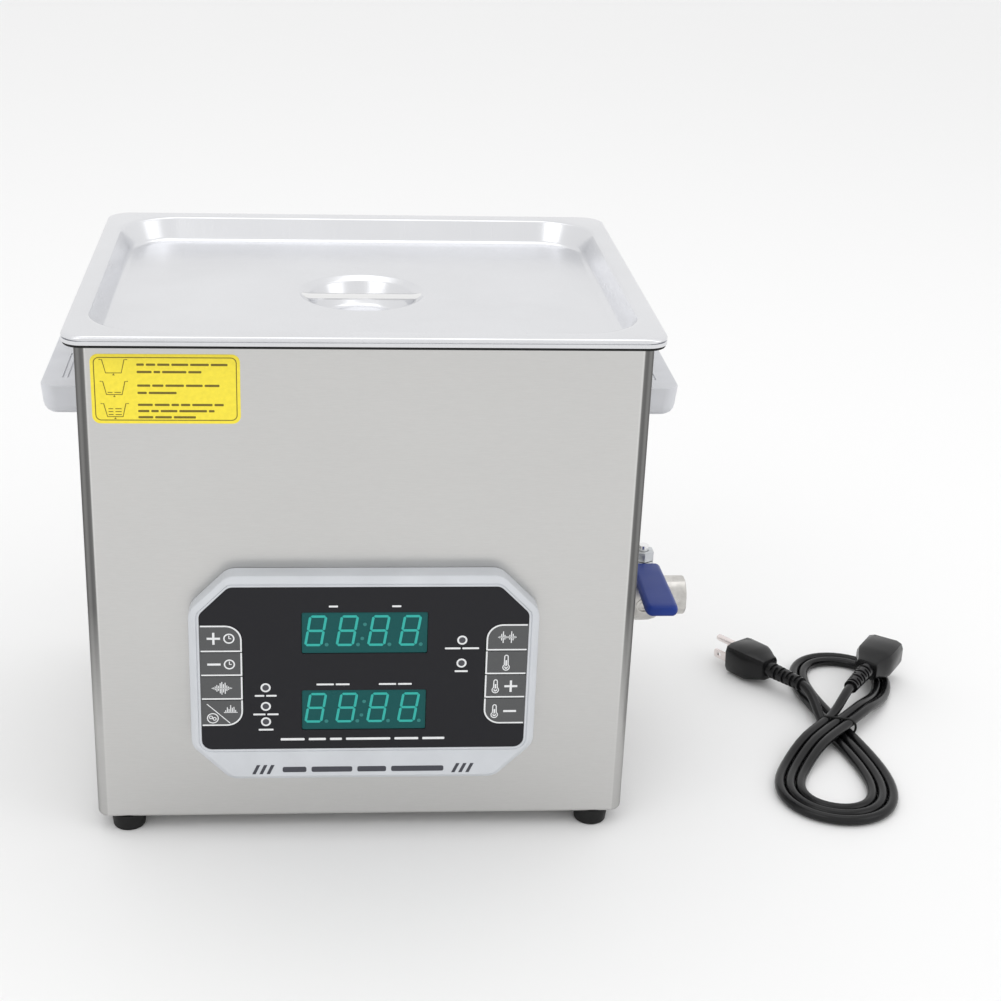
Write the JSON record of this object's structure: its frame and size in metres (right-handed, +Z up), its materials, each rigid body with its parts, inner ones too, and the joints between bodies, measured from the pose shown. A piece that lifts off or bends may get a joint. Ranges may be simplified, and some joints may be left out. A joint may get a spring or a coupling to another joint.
{
  "type": "ultrasonic cleaner",
  "caption": "Bench-top ultrasonic cleaner: steel tank and cabinet, lift-off recessed lid, chamfered control panel, side drain valve, grips and a detached mains lead.",
  "frame": {"origin": "middle of the unit's footprint at the bottom of the feet, without the mains lead", "axes": "+X to the user's right, along the longest side; +Y to the back; +Z up"},
  "size_m": [0.5801, 0.2764, 0.315],
  "materials": {
    "brushed_steel": "fine horizontal brushing",
    "polished_steel": "bright satin pressing",
    "zinc_steel": "zinc plated",
    "valve_steel": "cast and turned stainless",
    "aluminium": "machined",
    "ferrite": "wound and varnished",
    "grey_plastic": "fine moulded texture",
    "overlay_film": "printed film",
    "key_film": "printed film",
    "display_glass": "tinted window",
    "black_rubber": "matt",
    "black_plastic": "moulded",
    "blue_vinyl": "dipped vinyl",
    "circuit_board": "solder mask",
    "heater_mat": "silicone mat",
    "red_plastic": "moulded",
    "nickel_pin": "plated",
    "cord_jacket": "soft moulded jacket"
  },
  "bodies": {
    "cabinet": {"cabinet_shell": "brushed_steel", "base_plate": "zinc_steel", "foot_front_left": "black_rubber", "foot_front_right": "black_rubber", "foot_back_left": "black_rubber", "foot_back_right": "black_rubber", "tank": "polished_steel", "rim_seal": "black_rubber", "grip_left": "grey_plastic", "grip_right": "grey_plastic", "panel_bezel": "grey_plastic", "panel_overlay": "overlay_film", "control_board": "circuit_board", "display_timer": "display_glass", "display_temperature": "display_glass", "drain_pipe": "zinc_steel", "valve_body": "valve_steel", "drain_wall_nut": "valve_steel", "drain_washer": "black_rubber", "transducer_front_left": "aluminium", "transducer_front_right": "aluminium", "transducer_back_left": "aluminium", "transducer_back_right": "aluminium", "heater_left": "heater_mat", "heater_right": "heater_mat", "temperature_sensor": "aluminium", "board_tray": "zinc_steel", "generator_board": "circuit_board", "heatsink": "aluminium", "output_transformer": "ferrite", "mains_capacitor": "black_plastic", "power_inlet": "black_plastic", "rocker_housing": "black_plastic", "fan_frame": "black_plastic", "fan_guard": "zinc_steel", "cord_hank": "cord_jacket", "cord_connector": "black_plastic", "cord_plug": "black_plastic", "plug_earth_pin": "nickel_pin", "plug_blade_left": "nickel_pin", "plug_blade_right": "nickel_pin"},
    "lid": {"lid": "polished_steel", "lid_strap": "polished_steel"},
    "drain_lever": {"valve_lever": "valve_steel", "lever_sleeve": "blue_vinyl", "lever_nut": "valve_steel", "valve_stem": "valve_steel", "valve_ball": "polished_steel"},
    "fan_rotor": {"fan_impeller": "black_plastic"},
    "rocker": {"power_rocker": "red_plastic"},
    "key_time_up_cap": {"key_time_up": "key_film"},
    "key_time_down_cap": {"key_time_down": "key_film"},
    "key_full_wave_cap": {"key_full_wave": "key_film"},
    "key_degas_half_wave_cap": {"key_degas_half_wave": "key_film"},
    "key_sweep_cap": {"key_sweep": "key_film"},
    "key_heat_cap": {"key_heat": "key_film"},
    "key_temp_up_cap": {"key_temp_up": "key_film"},
    "key_temp_down_cap": {"key_temp_down": "key_film"}
  },
  "joints": [
    {"name": "lid_lift", "type": "slide", "parent": "cabinet", "child": "lid", "axis": [0, 0, 1], "range_m": [0, 0.25]},
    {"name": "drain_lever_turn", "type": "hinge", "parent": "cabinet", "child": "drain_lever", "pos_m": [0.17215, -0.00675, 0.125], "axis": [0, 0, 1], "range_deg": [0, 90]},
    {"name": "fan_spin", "type": "hinge", "parent": "cabinet", "child": "fan_rotor", "pos_m": [-0.06635, 0.12325, 0.082], "axis": [0, 1, 0], "continuous": true},
    {"name": "power_rocker_tilt", "type": "hinge", "parent": "cabinet", "child": "rocker", "pos_m": [0.09365, 0.13075, 0.098], "axis": [0, 0, -1], "range_deg": [0, 22]},
    {"name": "key_time_up_press", "type": "slide", "parent": "cabinet", "child": "key_time_up_cap", "axis": [0, 1, 0], "range_m": [0, 0.0004], "stiffness_N_per_m": 4000},
    {"name": "key_time_down_press", "type": "slide", "parent": "cabinet", "child": "key_time_down_cap", "axis": [0, 1, 0], "range_m": [0, 0.0004], "stiffness_N_per_m": 4000},
    {"name": "key_full_wave_press", "type": "slide", "parent": "cabinet", "child": "key_full_wave_cap", "axis": [0, 1, 0], "range_m": [0, 0.0004], "stiffness_N_per_m": 4000},
    {"name": "key_degas_half_wave_press", "type": "slide", "parent": "cabinet", "child": "key_degas_half_wave_cap", "axis": [0, 1, 0], "range_m": [0, 0.0004], "stiffness_N_per_m": 4000},
    {"name": "key_sweep_press", "type": "slide", "parent": "cabinet", "child": "key_sweep_cap", "axis": [0, 1, 0], "range_m": [0, 0.0004], "stiffness_N_per_m": 4000},
    {"name": "key_heat_press", "type": "slide", "parent": "cabinet", "child": "key_heat_cap", "axis": [0, 1, 0], "range_m": [0, 0.0004], "stiffness_N_per_m": 4000},
    {"name": "key_temp_up_press", "type": "slide", "parent": "cabinet", "child": "key_temp_up_cap", "axis": [0, 1, 0], "range_m": [0, 0.0004], "stiffness_N_per_m": 4000},
    {"name": "key_temp_down_press", "type": "slide", "parent": "cabinet", "child": "key_temp_down_cap", "axis": [0, 1, 0], "range_m": [0, 0.0004], "stiffness_N_per_m": 4000}
  ]
}
